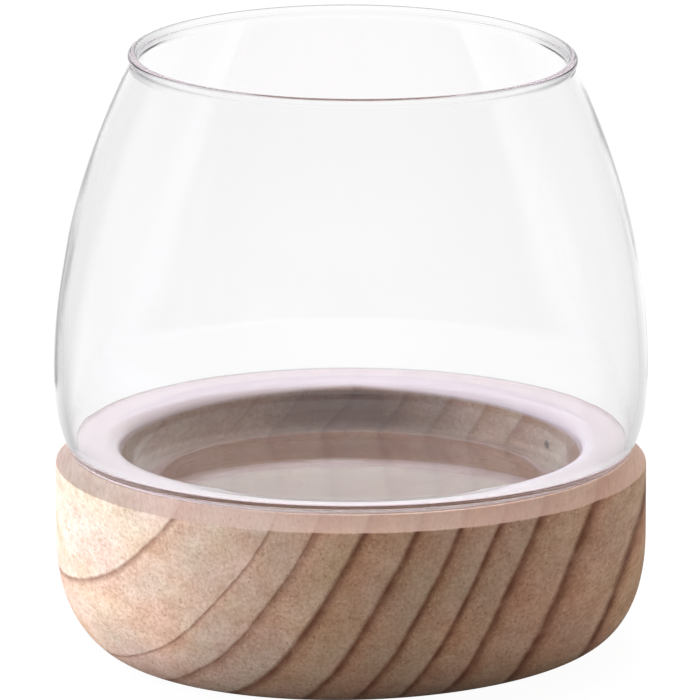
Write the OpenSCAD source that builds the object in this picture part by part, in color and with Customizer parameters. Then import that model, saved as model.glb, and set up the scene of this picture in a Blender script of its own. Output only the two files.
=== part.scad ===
// Hydroponic vase: a clear glass vessel whose well drops into the round recess of a turned wooden base.
// The vessel rests on the flat ring round the recess and lifts straight off.
// Millimetres, +Z up, origin at the centre of the underside of the base.

/* [Wooden base] */
// Width across the base
base_d = 150; // [110:1:300]
// Height of the flat ring that carries the vessel
base_h = 51.5; // [42:0.5:120]
// Width of the chamfer round the top edge
chamfer_w = 3.8; // [1:0.1:7]
// Height of the chamfer round the top edge
chamfer_h = 3.7; // [1:0.1:8]
// How far the rounded lower edge runs in under the base
underside_w = 22; // [8:0.5:45]
// How high the rounded lower edge reaches
underside_h = 31; // [10:0.5:36]
// Fullness of the rounded lower edge, 2 being an ellipse
underside_power = 2.4; // [2:0.1:5]
// Width of the flat ring between the recess and the chamfer
seat_w = 9.9; // [6:0.1:18]
// Depth of the recess below the flat ring
recess_depth = 13.6; // [9:0.1:24]
// Rounding of the mouth of the recess
recess_mouth_r = 2; // [0.8:0.1:3]
// Rounding between the wall and the floor of the recess
recess_corner_r = 3; // [0.5:0.1:5]

/* [Glass vessel] */
// Height of the vessel above the flat ring
glass_h = 102.6; // [70:0.1:240]
// How far the belly stands out beyond the side of the base
belly_bulge = 0.4; // [0:0.1:6]
// Height of the widest place above the flat ring
belly_h = 20; // [14:0.5:40]
// Fullness of the curve from the heel up to the belly
heel_power = 2.6; // [1.5:0.1:4]
// Fullness of the curve from the belly up to the rim
neck_power = 2; // [1.5:0.1:3]
// Width across the rounded rim
mouth_d = 113.7; // [70:0.5:140]
// Thickness of the rounded rim
rim_d = 2.4; // [1.8:0.1:4]
// How far the rim stands out beyond the wall below it
rim_step = 1.6; // [0.6:0.1:2]
// Thickness of the wall at the heel
wall_t = 2.4; // [1.6:0.1:3.5]
// Thickness of the wall just under the rim
neck_t = 1.8; // [1.4:0.1:2.4]
// Rounding of the heel
heel_r = 1.2; // [0.6:0.1:2]
// Thickness of the shoulder that stands on the flat ring
shoulder_t = 2.5; // [1.6:0.1:4]
// Rounding inside, between the wall and the shoulder
shoulder_corner_r = 2; // [0.6:0.1:4]
// Thickness of the wall and the floor of the well
well_t = 2.4; // [1.6:0.1:3.2]
// Width of the round corner between the wall and the floor of the well
well_corner_w = 13; // [6:0.5:25]
// Rise of the floor of the well at its middle
floor_rise = 1; // [0:0.1:3]

/* [Clearances] */
// Gap between the well and the wall of the recess
well_gap = 0.8; // [0.5:0.1:2]
// Gap between the floor of the well and the floor of the recess
floor_gap = 1.1; // [0.5:0.1:3]
// How much closer the vessel keeps to the rounded mouth of the recess
bend_relief = 0.4; // [0.3:0.1:0.6]
// How far the side of the heel stands out over the chamfer
heel_overhang = 0.5; // [0:0.1:0.7]

/* [Hidden] */
$fn = 128;

// Steps along one rounding, and along one long curve of the wall
round_steps = 10;
wall_steps = 16;
right_angle = 90;

// The base
base_r = base_d / 2;
foot_r = base_r - underside_w;
seat_r = base_r - chamfer_w;
recess_r = seat_r - seat_w;

// The vessel stands on the ring, so its heights are counted from the ring
belly_r = base_r + belly_bulge;
heel_out_r = seat_r + heel_overhang;
rim_r = rim_d / 2;
rim_z = glass_h - rim_r;
rim_centre_r = mouth_d / 2 - rim_r;
neck_r = mouth_d / 2 - rim_step;

// The well hangs in the recess
well_r = recess_r - well_gap;
well_depth = recess_depth - floor_gap;
bend_w = recess_mouth_r - bend_relief + well_gap;
bend_h = recess_mouth_r;
floor_r = well_r - well_corner_w;

// The heel's arc meets the wall where both lean alike
heel_lean = atan(heel_power * (belly_r - heel_out_r) / belly_h);
heel_z = heel_r * (1 - sin(heel_lean));
heel_centre_r = heel_out_r - heel_r * cos(heel_lean);

// The wall runs into the rim at this height
rim_foot_share = 0.8;
neck_z = rim_z - rim_foot_share * rim_r;
rim_foot_angle = asin(rim_foot_share);

// Points along an arc of an ellipse about (r, z) with the half-axes a and b
function arc(r, z, a, b, from, to, steps = round_steps) = [
    for (i = [0 : steps]) let (t = from + (to - from) * i / steps) [r + a * cos(t), z + b * sin(t)]
];

// Radius of the outside of the wall at a height above the ring
function outside_r(z) = z < belly_h
    ? belly_r - (belly_r - heel_out_r) * pow((belly_h - z) / (belly_h - heel_z), heel_power)
    : belly_r - (belly_r - neck_r) * pow((z - belly_h) / (rim_z - belly_h), neck_power);

// The wall thins evenly from the heel to the rim
function thickness(z) = wall_t + (neck_t - wall_t) * z / rim_z;
function inside_r(z) = outside_r(z) - thickness(z);

// Heights of the wall's points between two levels
function levels(from, to) = [for (i = [0 : wall_steps]) from + (to - from) * i / wall_steps];

// Floor of the well, rising towards the axis
function floor_line(level) = [
    for (i = [0 : round_steps]) let (share = i / round_steps)
        [floor_r * share, level + floor_rise * (1 - share * share)]
];

function reversed(points) = [for (i = [len(points) - 1 : -1 : 0]) points[i]];

// Rounded lower edge of the base, a superellipse from the foot up to the side
function underside_line() = [
    for (i = [0 : wall_steps]) let (t = right_angle * i / wall_steps)
        [
            foot_r + underside_w * pow(sin(t), 2 / underside_power),
            underside_h * (1 - pow(cos(t), 2 / underside_power))
        ]
];

// Turned wooden base with its recess
module wooden_base() {
    floor_z = base_h - recess_depth;
    outline = concat(
        [[0, 0]],
        underside_line(),
        [[base_r, base_h - chamfer_h], [seat_r, base_h]],
        arc(recess_r + recess_mouth_r, base_h - recess_mouth_r, recess_mouth_r, recess_mouth_r,
            right_angle, 2 * right_angle),
        arc(recess_r - recess_corner_r, floor_z + recess_corner_r, recess_corner_r, recess_corner_r,
            0, -right_angle),
        [[0, floor_z]]
    );
    color([0.80, 0.67, 0.55]) rotate_extrude() polygon(outline);
}

// Blown glass vessel: outside from the floor up to the rim, then inside back down
module glass_vessel() {
    inner_floor_z = well_t - well_depth;
    corner_z = shoulder_t + shoulder_corner_r;
    outside = concat(
        floor_line(-well_depth),
        arc(floor_r, -bend_h, well_corner_w, well_depth - bend_h, -right_angle, 0),
        arc(well_r + bend_w, -bend_h, bend_w, bend_h, 2 * right_angle, right_angle),
        arc(heel_centre_r, heel_r, heel_r, heel_r, -right_angle, -heel_lean),
        [for (z = levels(heel_z, belly_h)) [outside_r(z), z]],
        [for (z = levels(belly_h, neck_z)) [outside_r(z), z]]
    );
    rim = arc(rim_centre_r, rim_z, rim_r, rim_r,
        -rim_foot_angle, 2 * right_angle + rim_foot_angle, 2 * round_steps);
    inside = concat(
        [for (z = levels(neck_z - rim_r, belly_h)) [inside_r(z), z]],
        [for (z = levels(belly_h, corner_z)) [inside_r(z), z]],
        arc(inside_r(corner_z) - shoulder_corner_r, corner_z, shoulder_corner_r, shoulder_corner_r,
            0, -right_angle),
        arc(well_r + bend_w, -bend_h, bend_w + well_t, bend_h + shoulder_t,
            right_angle, 2 * right_angle),
        arc(floor_r, -bend_h, well_corner_w - well_t, well_depth - well_t - bend_h,
            0, -right_angle),
        reversed(floor_line(inner_floor_z))
    );
    color([0.85, 0.92, 0.94, 0.35]) translate([0, 0, base_h]) rotate_extrude()
        polygon(concat(outside, rim, inside));
}

glass_vessel();
wooden_base();
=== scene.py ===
"""Looks of the hydroponic vase: a clear blown vessel on a turned base of pale ring-porous wood.

Metres, +Z up, origin at the centre of the underside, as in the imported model.
"""

import math

import bpy
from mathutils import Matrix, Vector, noise


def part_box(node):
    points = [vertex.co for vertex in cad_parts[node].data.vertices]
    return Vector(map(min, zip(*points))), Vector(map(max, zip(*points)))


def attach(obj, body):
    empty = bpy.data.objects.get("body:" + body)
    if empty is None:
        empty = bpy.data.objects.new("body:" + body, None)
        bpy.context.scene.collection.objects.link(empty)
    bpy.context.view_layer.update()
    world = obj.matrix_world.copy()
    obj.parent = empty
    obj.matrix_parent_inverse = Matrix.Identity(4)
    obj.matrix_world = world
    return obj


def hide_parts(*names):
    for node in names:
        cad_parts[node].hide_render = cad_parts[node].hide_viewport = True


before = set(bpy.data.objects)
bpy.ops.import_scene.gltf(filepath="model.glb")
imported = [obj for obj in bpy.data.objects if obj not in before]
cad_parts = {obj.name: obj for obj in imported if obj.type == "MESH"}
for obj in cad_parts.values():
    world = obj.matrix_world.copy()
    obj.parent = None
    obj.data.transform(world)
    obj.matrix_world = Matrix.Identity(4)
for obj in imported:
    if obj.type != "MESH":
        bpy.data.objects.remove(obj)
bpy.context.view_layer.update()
base_low, base_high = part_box("wooden_base")
glass_low, glass_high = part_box("glass_vessel")

MM = 0.001

# View of the photograph
CAMERA_ELEVATION = math.radians(14.916)
CAMERA_DISTANCE = 3.345
FOCAL_PIXELS = 13120
PICTURE_PIXELS = 700
ORIGIN_PIXEL_X = 350.9
ORIGIN_PIXEL_Y = 641.6
SENSOR_WIDTH_MM = 36

# The base
BASE_R = (base_high.x - base_low.x) / 2
BASE_H = base_high.z
CHAMFER_W = 3.8 * MM
CHAMFER_H = 3.7 * MM
CREASE_R = 0.3 * MM
UNDERSIDE_W = 22 * MM
UNDERSIDE_H = 31 * MM
UNDERSIDE_POWER = 2.4
# How unevenly the lower edge is sanded, and how quickly that fades up the side
UNEVEN_EDGE = 2.4 * MM
UNEVEN_POWER = 8
SEAT_W = 9.9 * MM
RECESS_DEPTH = 13.6 * MM
RECESS_MOUTH_R = 2 * MM
RECESS_CORNER_R = 3 * MM
SEAT_R = BASE_R - CHAMFER_W
RECESS_R = SEAT_R - SEAT_W

# The vessel, with heights counted from the ring that it stands on
BELLY_R = (glass_high.x - glass_low.x) / 2
BELLY_H = 20 * MM
GLASS_H = glass_high.z - BASE_H
WELL_DEPTH = BASE_H - glass_low.z
HEEL_POWER = 2.6
HEEL_R = 1.2 * MM
HEEL_OUT_R = SEAT_R + 0.5 * MM
MOUTH_R = 56.85 * MM
RIM_R = 1.2 * MM
NECK_R = MOUTH_R - 1.6 * MM
WALL_T = 2.4 * MM
NECK_T = 1.8 * MM
SHOULDER_T = 2.5 * MM
# Kept smaller than in the solid, so that the ring shows unbroken in front
SHOULDER_CORNER_R = 0.7 * MM
WELL_T = 2.4 * MM
WELL_R = RECESS_R - 0.8 * MM
WELL_CORNER_W = 13 * MM
WELL_BEND_W = 2.4 * MM
WELL_BEND_H = 2 * MM
FLOOR_RISE = 1 * MM
RIM_Z = GLASS_H - RIM_R
# Roundings where the wall runs into the rim, outside and inside
NECK_FILLET = 0.9 * MM
NECK_BEND = 1.2 * MM

# Small irregularities of blown glass: the mouth leans a little and dips at its right end
MOUTH_LEAN = 0.5 * MM
MOUTH_DIP = 1.2 * MM
# The dip starts at this share of the height, and this share of the mouth's radius left of the axis
DIP_LOW_SHARE = 0.4
DIP_LEFT_SHARE = 0.2
WALL_RIPPLE = 0.05 * MM
RIPPLE_LENGTH = 30 * MM
# The glass keeps this far off the wood, fading out towards the rim
SEAT_GAP = 0.06 * MM

# Steps of the lathe shapes
TURN_STEPS = 288
ARC_STEPS = 12
WALL_STEPS = 48


def srgb(red, green, blue, alpha=1.0):
    """A colour as the eye reads it, 0 to 255, in Blender's linear values."""
    def linear(value):
        share = value / 255
        return share / 12.92 if share <= 0.04045 else ((share + 0.055) / 1.055) ** 2.4
    return (linear(red), linear(green), linear(blue), alpha)


class Graph:
    """Builds shader nodes. An input is a value or another node's output."""

    def __init__(self, owner):
        owner.use_nodes = True
        self.tree = owner.node_tree
        self.tree.nodes.clear()

    def add(self, kind, inputs=None, **settings):
        made = self.tree.nodes.new("ShaderNode" + kind)
        for name, value in settings.items():
            setattr(made, name, value)
        for name, value in (inputs or {}).items():
            self.set(made.inputs[name], value)
        return made

    def set(self, socket, value):
        if isinstance(value, bpy.types.NodeSocket):
            self.tree.links.new(value, socket)
        else:
            socket.default_value = value

    def math(self, operation, *values, clamp=False):
        made = self.add("Math", operation=operation, use_clamp=clamp)
        for socket, value in zip(made.inputs, values):
            self.set(socket, value)
        return made.outputs[0]

    def vector(self, operation, *values):
        made = self.add("VectorMath", operation=operation)
        for socket, value in zip(made.inputs, values):
            self.set(socket, value)
        return made.outputs["Value" if operation in ("LENGTH", "DISTANCE") else "Vector"]

    def mix(self, share, first, second, blend="MIX"):
        made = self.add("Mix", data_type="RGBA", blend_type=blend, clamp_factor=True)
        for socket, value in ((made.inputs[0], share), (made.inputs[6], first), (made.inputs[7], second)):
            self.set(socket, value)
        return made.outputs[2]

    def ramp(self, share, stops, interpolation="LINEAR"):
        made = self.add("ValToRGB", {"Fac": share})
        made.color_ramp.interpolation = interpolation
        elements = made.color_ramp.elements
        while len(elements) < len(stops):
            elements.new(1.0)
        for element, (position, value) in zip(elements, stops):
            element.position = position
            element.color = value if isinstance(value, tuple) else (value, value, value, 1.0)
        return made.outputs["Color"]

    def noise(self, place, scale, detail=2.0, roughness=0.5, distortion=0.0):
        made = self.add("TexNoise", {"Vector": place, "Scale": scale, "Detail": detail,
                                     "Roughness": roughness, "Distortion": distortion})
        return made.outputs["Fac"]

    def output(self, surface, kind="OutputMaterial"):
        self.add(kind, {"Surface": surface})


# The log that the base was turned from: a point on its axis, the way the grain runs, and its growth rings
LOG_POINT_MM = Vector((-161, 0, 142.7))
LOG_AXIS = Vector((0.067, 0.982, 0.177)).normalized()
FIRST_RING_MM = 98
RING_WIDTHS_MM = (20, 29, 20, 10, 11, 12, 10, 9, 9, 13, 16, 10, 11, 12, 10)
# How far the rings wander, and how ragged their lines are, with the length of each wave
RING_WANDER_MM = 3.4
RING_WANDER_LENGTH_MM = 34
LINE_RAGGED_MM = 0.5
LINE_RAGGED_LENGTH_MM = 2.2
# Marks across one ring: share of the ring's width, then strength. The wide rings have the thin line.
LINE_LEAD = 0.08
THIN_LINE = ((0.06, 0.0), (0.08, 0.75), (0.1, 0.55), (0.15, 0.0))
BROAD_LINE = ((0.0, 0.0), (0.06, 0.7), (0.1, 1.0), (0.16, 0.8), (0.25, 0.2), (0.34, 0.0))
SHORT_ZONE = ((0.0, 0.55), (0.1, 0.5), (0.3, 0.12), (1.0, 0.0))
LONG_ZONE = ((0.0, 1.0), (0.2, 0.8), (0.45, 0.35), (0.75, 0.08), (1.0, 0.0))
# How much fainter the lines are in the recess and on the chamfer, which are turned across the grain
LINE_FADE = 0.65
KNOT = Vector((51.8, 32.7, 42)) * MM
KNOT_R = 1.6 * MM
WOOD_PATCHES = ((0.36, srgb(255, 249, 241)), (0.5, srgb(252, 252, 252)), (0.64, srgb(242, 246, 248)))
# The recess's painted shade: its darker tone, and how strong that is on its wall from left to right and on
# its floor
PAINTED_RECESS_SHADE_TINT = (0.3, 0.17, 0.13, 1.0)
PAINTED_RECESS_SHADE_ACROSS = ((0.2, 0.0), (0.34, 0.2), (0.44, 0.85), (0.55, 1.0), (0.64, 0.4), (0.73, 0.0))
PAINTED_RECESS_FLOOR_SHADE = (0.78, 0.78, 0.78, 1.0)
# Painted light and shade on the chamfer: how much its tones cover the wood, and the tones from left to right,
# dark at the left and palest right of the middle
PAINTED_CHAMFER_LIGHT_SHARE = 0.6
PAINTED_CHAMFER_LIGHT_TONES = ((0.05, srgb(122, 106, 99)), (0.2, srgb(180, 155, 143)), (0.45, srgb(220, 194, 180)),
                 (0.65, srgb(240, 212, 197)), (0.9, srgb(196, 168, 154)))


def wood_material():
    """Pale ring-porous wood: dark ring lines, a red porous zone outside each, then grey-tan late wood."""
    material = bpy.data.materials.new("turned_wood_grain")
    g = Graph(material)
    place = g.add("TexCoord").outputs["Object"]

    # Grain coordinates in millimetres: x and y across the log, z along it
    turn = LOG_AXIS.rotation_difference(Vector((0, 0, 1)))
    grain = g.add("Mapping", {
        "Vector": place,
        "Location": -(turn @ LOG_POINT_MM),
        "Rotation": turn.to_euler(),
        "Scale": (1 / MM, 1 / MM, 1 / MM),
    }).outputs["Vector"]
    slow_place = g.vector("MULTIPLY", grain, (1, 1, 0.35))
    fibre_place = g.vector("MULTIPLY", grain, (1, 1, 0.12))

    # Distance from the heart of the log, a little wavy
    cross = g.vector("LENGTH", g.vector("MULTIPLY", grain, (1, 1, 0)))
    wander = g.math("SUBTRACT", g.noise(slow_place, 1 / RING_WANDER_LENGTH_MM, 2), 0.5)
    wander = g.math("MULTIPLY", wander, RING_WANDER_MM)
    ragged = g.math("SUBTRACT", g.noise(fibre_place, 1 / LINE_RAGGED_LENGTH_MM, 3, 0.6), 0.5)
    ragged = g.math("MULTIPLY", ragged, LINE_RAGGED_MM)
    heart = g.math("ADD", g.math("ADD", cross, wander), ragged)

    # Growth ring number, with each ring as wide as the list says
    span = sum(RING_WIDTHS_MM)
    share = g.math("DIVIDE", g.math("SUBTRACT", heart, FIRST_RING_MM), span, clamp=True)
    curve = g.add("FloatCurve", {"Value": share})
    line = curve.mapping.curves[0]
    reached = 0
    for count, width in enumerate(RING_WIDTHS_MM[:-1], start=1):
        reached += width
        line.points.new(reached / span, count / len(RING_WIDTHS_MM))
    for point in line.points:
        point.handle_type = "VECTOR"
    curve.mapping.update()
    ring = g.math("MULTIPLY", curve.outputs["Value"], len(RING_WIDTHS_MM))
    across = g.math("FRACT", ring)
    own = g.add("TexWhiteNoise", {"W": g.math("FLOOR", ring)}, noise_dimensions="1D").outputs["Value"]

    # Parts of the base: the recess and the chamfer, and the place from left to right
    parts = g.add("SeparateXYZ", {"Vector": place})
    out = g.vector("LENGTH", g.vector("MULTIPLY", place, (1, 1, 0)))
    aside = g.math("MULTIPLY_ADD", parts.outputs["X"], 0.5 / BASE_R, 0.5)
    below = g.math("DIVIDE", g.math("SUBTRACT", BASE_H, parts.outputs["Z"]), RECESS_DEPTH)
    within = g.math("LESS_THAN", out, RECESS_R + MM)
    inside = g.math("MULTIPLY", g.ramp(below, ((0.0, 0.0), (0.1, 1.0))), within)
    band = g.math("MULTIPLY", g.math("GREATER_THAN", out, SEAT_R - MM),
                  g.math("GREATER_THAN", parts.outputs["Z"], BASE_H - CHAMFER_H))

    # Marks across one ring
    wide_rings = g.ramp(share, ((0.37, 1.0), (0.41, 0.0)))
    near_line = g.math("FRACT", g.math("ADD", ring, LINE_LEAD))
    sharp_line = g.mix(wide_rings, g.ramp(near_line, BROAD_LINE), g.ramp(near_line, THIN_LINE))
    early = g.mix(wide_rings, g.ramp(across, LONG_ZONE), g.ramp(across, SHORT_ZONE))

    # Pores: dots on the end grain, dashes along it
    def pores(width, length, size, keep):
        cells = g.add("TexVoronoi", {
            "Vector": g.vector("MULTIPLY", grain, (1 / width, 1 / width, 1 / length)),
            "Scale": 1.0,
            "Randomness": 1.0,
        }, feature="F1")
        dot = g.add("MapRange", {
            "Value": cells.outputs["Distance"],
            "From Min": size,
            "From Max": size * 0.45,
            "To Min": 0.0,
            "To Max": 1.0,
        }).outputs["Result"]
        chosen = g.add("SeparateColor", {"Color": cells.outputs["Color"]}).outputs["Red"]
        return g.math("MULTIPLY", dot, g.math("LESS_THAN", chosen, keep))

    clusters = g.ramp(g.noise(slow_place, 1 / 7, 2), ((0.45, 0.0), (0.62, 0.3)))
    density = g.math("ADD", g.math("MULTIPLY", early, 0.55), g.math("ADD", clusters, 0.02))
    large = pores(0.95, 9.0, 0.36, density)
    small = pores(0.55, 6.0, 0.34, g.math("ADD", g.math("MULTIPLY", density, 0.6), 0.1))
    flecks = pores(1.1, 3.0, 0.33, g.math("MULTIPLY", early, 0.5))

    # Colours
    patch = g.noise(slow_place, 1 / 13, 2)
    late_wood = g.mix(g.ramp(patch, ((0.35, 0.0), (0.65, 1.0))), srgb(216, 203, 180), srgb(223, 200, 182))
    early_wood = g.mix(g.ramp(patch, ((0.4, 0.0), (0.7, 1.0))), srgb(206, 168, 136), srgb(202, 158, 134))
    colour = g.mix(g.math("MULTIPLY", early, 0.8), late_wood, early_wood)
    colour = g.mix(g.math("MULTIPLY", own, 0.16), colour, srgb(178, 138, 112))
    fibre_tones = ((0.3, srgb(222, 214, 206)), (0.62, srgb(255, 255, 255)))
    colour = g.mix(1.0, colour, g.ramp(g.noise(fibre_place, 1 / 0.9, 4, 0.62), fibre_tones), "MULTIPLY")
    cloud_tones = ((0.35, srgb(236, 230, 226)), (0.65, srgb(255, 255, 255)))
    colour = g.mix(1.0, colour, g.ramp(g.noise(slow_place, 1 / 5, 3), cloud_tones), "MULTIPLY")
    colour = g.mix(1.0, colour, g.ramp(g.noise(slow_place, 1 / 20, 2), WOOD_PATCHES), "MULTIPLY")
    colour = g.mix(g.math("MULTIPLY", flecks, 0.3), colour, srgb(244, 224, 196))
    colour = g.mix(g.math("MULTIPLY", small, 0.3), colour, srgb(150, 110, 86))
    colour = g.mix(g.math("MULTIPLY", large, 0.42), colour, srgb(128, 86, 64))
    worn = g.ramp(g.noise(slow_place, 1 / 4, 3), ((0.3, 0.6), (0.6, 1.0)))
    worn = g.math("MULTIPLY", worn, g.math("MULTIPLY_ADD", g.math("MAXIMUM", inside, band), -LINE_FADE, 1.0))
    colour = g.mix(g.math("MULTIPLY", sharp_line, worn), colour, srgb(112, 72, 52))
    near_knot = g.math("DIVIDE", g.vector("DISTANCE", place, tuple(KNOT)), KNOT_R)
    knot = g.ramp(near_knot, ((0.55, 1.0), (1.0, 0.0)))
    colour = g.mix(knot, colour, srgb(84, 66, 52))

    # Painted shade: the recess is darker and redder than the outside, strongest on its wall just right of the
    # middle and even on its floor
    on_floor = g.ramp(below, ((0.88, 0.0), (0.98, 1.0)))
    painted_recess_shade = g.mix(on_floor, g.ramp(aside, PAINTED_RECESS_SHADE_ACROSS), PAINTED_RECESS_FLOOR_SHADE)
    colour = g.mix(g.math("MULTIPLY", inside, painted_recess_shade), colour, PAINTED_RECESS_SHADE_TINT, "MULTIPLY")
    # Painted light and shade on the chamfer: dark at the left, palest right of the middle
    colour = g.mix(g.math("MULTIPLY", band, PAINTED_CHAMFER_LIGHT_SHARE), colour, g.ramp(aside, PAINTED_CHAMFER_LIGHT_TONES))

    # Relief: pores and lines lie a little deeper
    depth = g.math("ADD", g.math("MULTIPLY", large, 0.9), g.math("MULTIPLY", small, 0.45))
    depth = g.math("ADD", depth, g.math("MULTIPLY", sharp_line, 0.35))
    height = g.math("SUBTRACT", g.math("MULTIPLY", g.noise(fibre_place, 1 / 0.7, 4, 0.6), 0.8), depth)
    relief = g.add("Bump", {"Height": height, "Strength": 0.35, "Distance": 0.14 * MM})
    rough = g.math("ADD", g.math("MULTIPLY", g.noise(fibre_place, 1 / 1.6, 2), 0.16), 0.55)

    surface = g.add("BsdfPrincipled", {
        "Base Color": colour,
        "Roughness": rough,
        "Normal": relief.outputs["Normal"],
    })
    surface.inputs["Specular IOR Level"].default_value = 0.35
    g.output(surface.outputs["BSDF"])
    return material


# The clear glass, and what it lets through to the lamps' light
GLASS_COLOUR = (0.995, 0.997, 1.0, 1.0)
LIGHT_THROUGH = (0.95, 0.955, 0.96, 1.0)
# How milky the ground underside of the vessel is, how that fades up the heel, and its colour
SEAT_MILK = 0.74
HEEL_FADE = ((0.2, 1.0), (0.45, 0.6), (0.8, 0.45), (1.0, 0.0))
MILK_COLOUR = (0.77, 0.7, 0.74, 1.0)
# How far down the bend into the well it reaches, in mm: all round, more at the sides and more in front
MILK_REACH_MM = 0.8
MILK_REACH_ASIDE_MM = 1.8
MILK_REACH_FRONT_MM = 2.0
# It stops this far inside the outside of the well
MILK_MARGIN_MM = 0.2
# Where the rounded rim begins, and the painted shade on it where it is seen edge on: a dark tint for the dark
# lines that the bead shows
RIM_LOW = BASE_H + GLASS_H - 3.9 * MM
RIM_PAINTED_EDGE_GRAZING = ((0.4, 0.0), (0.85, 1.0))
RIM_PAINTED_DARK_EDGE = (0.3, 0.3, 0.32, 1.0)
# Painted reflection: a faint brown matt haze in the well's glass, for the wood mirrored there and to fill the
# dark where light is lost in the glass; its strength, the height below the ring where it starts, in mm, and
# its colour
WELL_PAINTED_HAZE = 0.06
PAINTED_HAZE_TOP_MM = -2.5
PAINTED_HAZE_COLOUR = (0.4, 0.28, 0.23, 1.0)


def glass_material():
    """Clear blown glass, ground matt below. Lamps shine through it on to what is behind."""
    material = bpy.data.materials.new("clear_blown_glass")
    g = Graph(material)
    place = g.add("TexCoord").outputs["Object"]
    millimetres = g.vector("MULTIPLY", place, (1 / MM, 1 / MM, 1 / MM))
    drawn = g.vector("MULTIPLY", millimetres, (1, 1, 0.5))
    waves = g.add("Bump", {"Height": g.noise(drawn, 1 / 16, 1), "Strength": 0.25, "Distance": 0.25 * MM})
    rough = g.ramp(g.noise(millimetres, 1 / 9, 2), ((0.45, 0.0), (0.8, 0.012)))
    parts = g.add("SeparateXYZ", {"Vector": millimetres})
    # Painted shade: the rim's glass is tinted dark where it is seen edge on
    bead = g.math("GREATER_THAN", parts.outputs["Z"], RIM_LOW / MM)
    painted_rim_edge_share = g.ramp(g.add("LayerWeight", {"Blend": 0.5}).outputs["Facing"], RIM_PAINTED_EDGE_GRAZING)
    surface = g.add("BsdfPrincipled", {
        "Base Color": g.mix(g.math("MULTIPLY", bead, painted_rim_edge_share), GLASS_COLOUR, RIM_PAINTED_DARK_EDGE),
        "Roughness": rough,
        "IOR": 1.5,
        "Transmission Weight": 1.0,
        "Normal": waves.outputs["Normal"],
    })
    # The underside is ground matt where it stands on the wood
    out = g.vector("LENGTH", g.vector("MULTIPLY", millimetres, (1, 1, 0)))
    up = g.math("SUBTRACT", parts.outputs["Z"], BASE_H / MM)
    aside = g.math("DIVIDE", g.math("ABSOLUTE", parts.outputs["X"]), MOUTH_R / MM)
    edge = g.math("ADD", up, g.math("MULTIPLY_ADD", aside, MILK_REACH_ASIDE_MM, MILK_REACH_MM))
    front = g.ramp(g.math("DIVIDE", parts.outputs["Y"], -MOUTH_R / MM), ((0.1, 0.0), (0.7, 1.0)))
    edge = g.math("ADD", edge, g.math("MULTIPLY", front, MILK_REACH_FRONT_MM))
    seat = g.math("MULTIPLY", g.ramp(edge, ((0.0, 0.0), (0.8, SEAT_MILK))), g.ramp(up, HEEL_FADE))
    milk = g.math("MULTIPLY", seat, g.math("GREATER_THAN", out, WELL_R / MM - MILK_MARGIN_MM))
    # Painted reflection: the faint brown matt haze of the well's glass below the ring
    low = g.math("LESS_THAN", up, PAINTED_HAZE_TOP_MM)
    milk = g.math("MAXIMUM", milk, g.math("MULTIPLY", low, WELL_PAINTED_HAZE))
    matt = g.add("BsdfDiffuse", {"Color": g.mix(low, MILK_COLOUR, PAINTED_HAZE_COLOUR)})
    ground = g.add("MixShader", {0: milk, 1: surface.outputs["BSDF"], 2: matt.outputs["BSDF"]})
    path = g.add("LightPath")
    soft_light = g.math("MAXIMUM", path.outputs["Is Shadow Ray"], path.outputs["Is Diffuse Ray"])
    clear = g.add("BsdfTransparent", {"Color": LIGHT_THROUGH})
    mixed = g.add("MixShader", {0: soft_light, 1: ground.outputs["Shader"], 2: clear.outputs["BSDF"]})
    g.output(mixed.outputs["Shader"])
    return material


def arc(r, z, a, b, start, end, steps=ARC_STEPS):
    """Points of an ellipse's arc about (r, z), with its half-axes and angles in degrees."""
    points = []
    for i in range(steps + 1):
        t = math.radians(start + (end - start) * i / steps)
        points.append((r + a * math.cos(t), z + b * math.sin(t)))
    return points


def lathe(name, outline, shape):
    """A closed solid turned from an outline that starts and ends on the axis. shape moves each point."""
    vertices, faces, rings = [], [], []
    for r, z in outline:
        if r == 0:
            rings.append([len(vertices)])
            vertices.append(shape(0.0, 0.0, z))
            continue
        ring = []
        for i in range(TURN_STEPS):
            angle = 2 * math.pi * i / TURN_STEPS
            ring.append(len(vertices))
            vertices.append(shape(angle, r, z))
        rings.append(ring)
    for low, high in zip(rings, rings[1:]):
        for i in range(TURN_STEPS):
            j = (i + 1) % TURN_STEPS
            if len(low) == 1:
                faces.append((low[0], high[j], high[i]))
            elif len(high) == 1:
                faces.append((low[i], low[j], high[0]))
            else:
                faces.append((low[i], low[j], high[j], high[i]))
    mesh = bpy.data.meshes.new(name)
    mesh.from_pydata(vertices, [], faces)
    mesh.validate()
    for polygon in mesh.polygons:
        polygon.use_smooth = True
    piece = bpy.data.objects.new(name, mesh)
    bpy.context.scene.collection.objects.link(piece)
    return piece


def outside_r(z):
    """Radius of the outside of the vessel's wall."""
    if z < BELLY_H:
        return BELLY_R - (BELLY_R - HEEL_OUT_R) * ((BELLY_H - z) / (BELLY_H - HEEL_Z)) ** HEEL_POWER
    return BELLY_R - (BELLY_R - NECK_R) * ((z - BELLY_H) / (RIM_Z - BELLY_H)) ** 2


HEEL_LEAN = math.atan(HEEL_POWER * (BELLY_R - HEEL_OUT_R) / BELLY_H)
HEEL_Z = HEEL_R * (1 - math.sin(HEEL_LEAN))


def inside_r(z):
    return outside_r(z) - (WALL_T + (NECK_T - WALL_T) * z / RIM_Z)


def wall(radius, start, end, steps=WALL_STEPS):
    """Points up or down the wall, without the first, which the piece before it ends on."""
    return [(radius(z), z) for z in (start + (end - start) * i / steps for i in range(1, steps + 1))]


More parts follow.
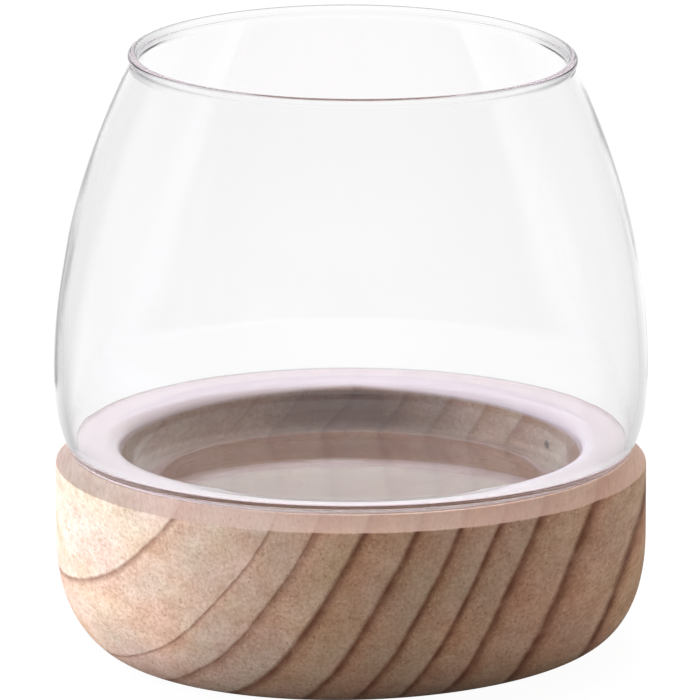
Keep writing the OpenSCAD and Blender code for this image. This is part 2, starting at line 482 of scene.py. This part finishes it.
def rim_outline():
    """The rounded rim: a hollow rounding up from the wall, over the bead, and down to the wall inside."""
    lean = math.atan(2 * (BELLY_R - NECK_R) / (RIM_Z - BELLY_H))
    down = Vector((math.sin(lean), -math.cos(lean)))
    out = Vector((math.cos(lean), math.sin(lean)))
    centre = Vector((MOUTH_R - RIM_R, RIM_Z))
    foot = Vector((NECK_R, RIM_Z))
    aside = centre - foot
    reach = RIM_R + NECK_FILLET
    slide = aside.dot(down) + math.sqrt(reach ** 2 - (NECK_FILLET - aside.dot(out)) ** 2)
    hollow = foot + out * NECK_FILLET + down * slide
    turn = math.degrees(math.atan2(centre.y - hollow.y, centre.x - hollow.x))
    points = arc(hollow.x, hollow.y, NECK_FILLET, NECK_FILLET, 180 + math.degrees(lean), turn)
    points += arc(centre.x, centre.y, RIM_R, RIM_R, turn - 180, 180, 3 * ARC_STEPS)[1:]
    inner_side = MOUTH_R - 2 * RIM_R
    corner_z = RIM_Z - (inner_side - inside_r(RIM_Z)) / math.tan(lean)
    low_z = corner_z - NECK_BEND
    for i in range(ARC_STEPS + 1):
        share = i / ARC_STEPS
        a, b, c = (1 - share) ** 2, 2 * share * (1 - share), share ** 2
        points.append(((a + b) * inner_side + c * inside_r(low_z),
                       a * (corner_z + NECK_BEND) + b * corner_z + c * low_z))
    return points


def glass_outline():
    """From the middle of the floor's underside up the outside, over the rim and down inside."""
    floor_r = WELL_R - WELL_CORNER_W
    inner_floor = WELL_T - WELL_DEPTH
    shares = [i / ARC_STEPS for i in range(ARC_STEPS)]
    rim = rim_outline()
    corner_z = SHOULDER_T + SHOULDER_CORNER_R
    heel_lean = math.degrees(HEEL_LEAN)
    low = [(floor_r * s, FLOOR_RISE * (1 - s * s) - WELL_DEPTH) for s in shares]
    low += arc(floor_r, -WELL_BEND_H, WELL_CORNER_W, WELL_DEPTH - WELL_BEND_H, -90, 0, 2 * ARC_STEPS)
    low += arc(WELL_R + WELL_BEND_W, -WELL_BEND_H, WELL_BEND_W, WELL_BEND_H, 180, 90)[1:]
    low += arc(HEEL_OUT_R - HEEL_R * math.cos(HEEL_LEAN), HEEL_R, HEEL_R, HEEL_R, -90, -heel_lean)
    low += wall(outside_r, HEEL_Z, rim[0][1])[:-1]
    inner = wall(inside_r, rim[-1][1], corner_z)
    inner += arc(inside_r(corner_z) - SHOULDER_CORNER_R, corner_z,
                 SHOULDER_CORNER_R, SHOULDER_CORNER_R, 0, -90)[1:]
    inner += arc(WELL_R + WELL_BEND_W, -WELL_BEND_H,
                 WELL_BEND_W + WELL_T, WELL_BEND_H + SHOULDER_T, 90, 180, 2 * ARC_STEPS)
    inner += arc(floor_r, -WELL_BEND_H, WELL_CORNER_W - WELL_T, WELL_DEPTH - WELL_T - WELL_BEND_H,
                 0, -90, 2 * ARC_STEPS)[1:]
    inner += [(floor_r * s, inner_floor + FLOOR_RISE * (1 - s * s)) for s in reversed(shares)]
    return low + rim + inner


def glass_shape(angle, r, z):
    """Stands the vessel on the base, with the lean and the ripple of blown glass."""
    up = max(0.0, z / GLASS_H)
    wave = noise.noise(Vector((2 * math.cos(angle), 2 * math.sin(angle), z / RIPPLE_LENGTH)))
    r -= WALL_RIPPLE * (1 + wave) * min(1.0, up * 6) if r else 0.0
    x = r * math.cos(angle)
    to_right = max(0.0, (x / MOUTH_R + DIP_LEFT_SHARE) / (1 + DIP_LEFT_SHARE))
    dip = MOUTH_DIP * to_right ** 2 * max(0.0, (up - DIP_LOW_SHARE) / (1 - DIP_LOW_SHARE))
    return (x + MOUTH_LEAN * up ** 3, r * math.sin(angle), BASE_H + z - dip + SEAT_GAP * (1 - up))


def wood_outline():
    """From the middle of the underside up the side and down into the recess."""
    foot_r = BASE_R - UNDERSIDE_W
    lines = [(0, 0.0), (foot_r * 0.5, 0.0)]
    for i in range(WALL_STEPS + 1):
        t = math.radians(90 * i / WALL_STEPS)
        lines.append((foot_r + UNDERSIDE_W * math.sin(t) ** (2 / UNDERSIDE_POWER),
                      UNDERSIDE_H * (1 - math.cos(t) ** (2 / UNDERSIDE_POWER))))
    crease_z = BASE_H - CHAMFER_H
    slope = math.degrees(math.atan2(CHAMFER_H, CHAMFER_W))
    lines += [(BASE_R, (UNDERSIDE_H + crease_z) / 2), (BASE_R, crease_z - CREASE_R)]
    lines += arc(BASE_R - CREASE_R, crease_z - CREASE_R, CREASE_R, CREASE_R, 0, 90 - slope, 4)[1:]
    lines += [(SEAT_R + CREASE_R, BASE_H - CREASE_R * CHAMFER_H / CHAMFER_W)]
    lines += arc(SEAT_R, BASE_H - CREASE_R, CREASE_R, CREASE_R, 90 - slope, 90, 4)
    floor_z = BASE_H - RECESS_DEPTH
    lines += arc(RECESS_R + RECESS_MOUTH_R, BASE_H - RECESS_MOUTH_R, RECESS_MOUTH_R, RECESS_MOUTH_R, 90, 180)
    lines += arc(RECESS_R - RECESS_CORNER_R, floor_z + RECESS_CORNER_R,
                 RECESS_CORNER_R, RECESS_CORNER_R, 0, -90)
    lines += [(RECESS_R / 2, floor_z), (0, floor_z)]
    return lines


def wood_shape(angle, r, z):
    """Sands the lower edge a little more at the right of the front than at its left."""
    low = max(0.0, 1 - z / UNDERSIDE_H) ** UNEVEN_POWER
    r += UNEVEN_EDGE * low * math.sin(2 * angle) * min(1.0, r / (BASE_R - UNDERSIDE_W))
    return (r * math.cos(angle), r * math.sin(angle), z)


def make_camera():
    data = bpy.data.cameras.new("camera")
    data.sensor_width = SENSOR_WIDTH_MM
    data.lens = FOCAL_PIXELS / PICTURE_PIXELS * SENSOR_WIDTH_MM
    data.clip_start = CAMERA_DISTANCE / 10
    data.clip_end = 100
    camera = bpy.data.objects.new("camera", data)
    bpy.context.scene.collection.objects.link(camera)
    camera.location = (0, -CAMERA_DISTANCE * math.cos(CAMERA_ELEVATION),
                       CAMERA_DISTANCE * math.sin(CAMERA_ELEVATION))
    down = CAMERA_ELEVATION - math.atan((ORIGIN_PIXEL_Y - PICTURE_PIXELS / 2) / FOCAL_PIXELS)
    aside = math.atan((ORIGIN_PIXEL_X - PICTURE_PIXELS / 2) / FOCAL_PIXELS)
    camera.rotation_euler = (math.radians(90) - down, 0, aside)
    bpy.context.scene.camera = camera


def make_base():
    piece = lathe("turned_base", wood_outline(), wood_shape)
    piece.data.materials.append(wood_material())
    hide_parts("wooden_base")
    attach(piece, "base")


def make_vessel():
    piece = lathe("blown_vessel", glass_outline(), glass_shape)
    piece.data.materials.append(glass_material())
    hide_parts("glass_vessel")
    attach(piece, "vessel")


# Light runs far round inside thick glass
PATH_BOUNCES = 24

# The floor: its size in metres, its white where it is seen, and the tones that it sends up to the object
FLOOR_SIZE = 60
FLOOR_GLOW = 0.96
FLOOR_BOUNCE = (0.42, 0.35, 0.28, 1)
FAINT_BOUNCE = (0.06, 0.06, 0.06, 1)
# A pale card lies on the floor at the left, and brightens the lower edge there
CARD_BOUNCE = (0.8, 0.8, 0.8, 1)
CARD_GLOW = (1.8, 1.75, 1.6, 1)
CARD_REACH = 0.25
BLACK = (0, 0, 0, 1)
WHITE = (1, 1, 1, 1)
# The light from all around
AMBIENT = 0.27
AMBIENT_TINT = (1.0, 0.82, 0.83, 1)
# Painted shadow: the floor is mirrored darker near the object, for the object's shade on it; and the ceiling
# is darker than the walls
PAINTED_SHADOW_REACH = 0.19
PAINTED_SHADOW_TONES = ((0.8, 0.45), (1.0, 1.0))
CEILING_TONES = ((0.3, 1.0), (0.55, 0.6))
# How white the surroundings are through glass, and their tones where they are mirrored, from front to back
THROUGH_WHITE = 0.45
BACKDROP_LEFT = ((0.0, 0.55), (0.2, 0.34), (0.42, 0.4), (0.6, 0.48), (0.77, 0.62), (0.83, 0.28),
                 (0.92, 0.62), (0.965, 1.0))
BACKDROP_RIGHT = ((0.0, 0.55), (0.2, 0.34), (0.42, 0.36), (0.6, 0.4), (0.76, 0.34), (0.92, 0.6),
                  (0.965, 1.0))


def seen(g):
    """1 for rays that show the surroundings: straight from the camera, mirrored or through glass."""
    path = g.add("LightPath")
    shown = g.math("MAXIMUM", path.outputs["Is Camera Ray"], path.outputs["Is Glossy Ray"])
    return g.math("MAXIMUM", shown, path.outputs["Is Transmission Ray"])


def room_tone(g, way):
    """How bright the room is towards a direction: white behind the vase, dimmer beside and in front."""
    level = g.add("SeparateXYZ", {"Vector": g.vector("NORMALIZE", g.vector("MULTIPLY", way, (1, 1, 0)))})
    ahead = g.math("MULTIPLY_ADD", level.outputs["Y"], 0.5, 0.5)
    side = g.math("MULTIPLY_ADD", level.outputs["X"], 0.5, 0.5)
    left = g.ramp(ahead, BACKDROP_LEFT)
    right = g.ramp(ahead, BACKDROP_RIGHT)
    return g.mix(g.ramp(side, ((0.45, 0.0), (0.55, 1.0))), left, right)


def lighten(g, tone):
    """What is seen through the glass is nearly white from every side, and what is mirrored keeps its tone."""
    through = g.math("MULTIPLY", g.add("LightPath").outputs["Is Transmission Ray"], THROUGH_WHITE)
    return g.mix(through, tone, WHITE)


def make_floor():
    mesh = bpy.data.meshes.new("floor")
    half = FLOOR_SIZE / 2
    corners = [(-half, -half, 0), (half, -half, 0), (half, half, 0), (-half, half, 0)]
    mesh.from_pydata(corners, [], [(0, 1, 2, 3)])
    floor = bpy.data.objects.new("floor", mesh)
    bpy.context.scene.collection.objects.link(floor)
    material = bpy.data.materials.new("pale_floor")
    g = Graph(material)
    place = g.add("TexCoord").outputs["Object"]
    # Painted shadow round the object, where the floor is mirrored or seen through glass
    distance = g.math("DIVIDE", g.vector("LENGTH", place), PAINTED_SHADOW_REACH, clamp=True)
    painted_near_shadow = g.ramp(distance, PAINTED_SHADOW_TONES)
    mirrored = lighten(g, g.mix(1.0, room_tone(g, place), painted_near_shadow, "MULTIPLY"))
    tone = g.mix(g.add("LightPath").outputs["Is Camera Ray"], mirrored, WHITE)
    across = g.math("MULTIPLY_ADD", g.add("SeparateXYZ", {"Vector": place}).outputs["X"], 1 / CARD_REACH, 1.0)
    bounce = g.add("BsdfDiffuse", {"Color": g.ramp(across, ((0.0, CARD_BOUNCE), (0.85, FLOOR_BOUNCE)))})
    card_tone = g.ramp(across, ((0.5, CARD_GLOW), (0.78, BLACK)))
    card = g.add("Emission", {"Color": card_tone, "Strength": 1.0})
    plain = g.add("AddShader", {0: bounce.outputs["BSDF"], 1: card.outputs["Emission"]})
    faint = g.add("BsdfDiffuse", {"Color": FAINT_BOUNCE})
    glow = g.add("Emission", {"Color": tone, "Strength": FLOOR_GLOW})
    bright = g.add("AddShader", {0: faint.outputs["BSDF"], 1: glow.outputs["Emission"]})
    mixed = g.add("MixShader", {0: seen(g), 1: plain.outputs["Shader"], 2: bright.outputs["Shader"]})
    g.output(mixed.outputs["Shader"])
    mesh.materials.append(material)


def make_world():
    world = bpy.data.worlds.new("studio")
    bpy.context.scene.world = world
    g = Graph(world)
    way = g.add("TexCoord").outputs["Generated"]
    up = g.add("SeparateXYZ", {"Vector": way}).outputs["Z"]
    ceiling = g.ramp(up, CEILING_TONES)
    room = lighten(g, g.mix(1.0, room_tone(g, way), ceiling, "MULTIPLY"))
    backdrop = g.mix(g.add("LightPath").outputs["Is Camera Ray"], room, WHITE)
    ambient = g.add("Background", {"Color": AMBIENT_TINT, "Strength": AMBIENT})
    shown = g.add("Background", {"Color": backdrop, "Strength": 1.0})
    mixed = g.add("MixShader", {0: seen(g), 1: ambient.outputs["Background"], 2: shown.outputs["Background"]})
    g.output(mixed.outputs["Shader"], "OutputWorld")


def soft_box(name, centre, aim, width, height, radiance, tint):
    """A rectangular lamp that glows with the given radiance, where 1 is a white surface in plain light."""
    data = bpy.data.lights.new(name, "AREA")
    data.shape = "RECTANGLE"
    data.size = width
    data.size_y = height
    data.energy = radiance * math.pi * width * height
    data.color = tint[:3]
    lamp = bpy.data.objects.new(name, data)
    bpy.context.scene.collection.objects.link(lamp)
    lamp.location = centre
    lamp.rotation_mode = "QUATERNION"
    lamp.rotation_quaternion = (Vector(aim) - Vector(centre)).to_track_quat("-Z", "Y")
    lamp.visible_camera = False
    lamp.visible_glossy = False
    lamp.visible_transmission = False


def make_lights():
    soft_box("key_left", (-0.6, -0.045, 0.1), (0, 0, 0.04), 0.3, 0.18, 12.4, (0.88, 1.0, 1.4))
    soft_box("high_left", (-0.7, 0, 0.42), (0, 0, 0.05), 0.3, 0.3, 10.3, (1.0, 1.0, 1.04))
    soft_box("top", (0, 0.2, 1.1), (0, 0, 0.06), 0.7, 0.35, 12.0, (1.0, 0.97, 1.0))
    soft_box("back", (0, 0.9, 0.62), (0, 0, 0.06), 1.6, 0.7, 1.0, (1.0, 0.97, 1.0))
    soft_box("right_card", (0.5, -0.02, 0.25), (0, 0, 0.06), 0.4, 0.5, 1.3, (1.0, 0.88, 0.84))


bpy.context.scene.view_settings.view_transform = "Standard"
bpy.context.scene.cycles.max_bounces = PATH_BOUNCES
bpy.context.scene.cycles.glossy_bounces = PATH_BOUNCES
bpy.context.scene.cycles.transmission_bounces = PATH_BOUNCES
make_camera()
make_base()
make_vessel()
make_floor()
make_world()
make_lights()
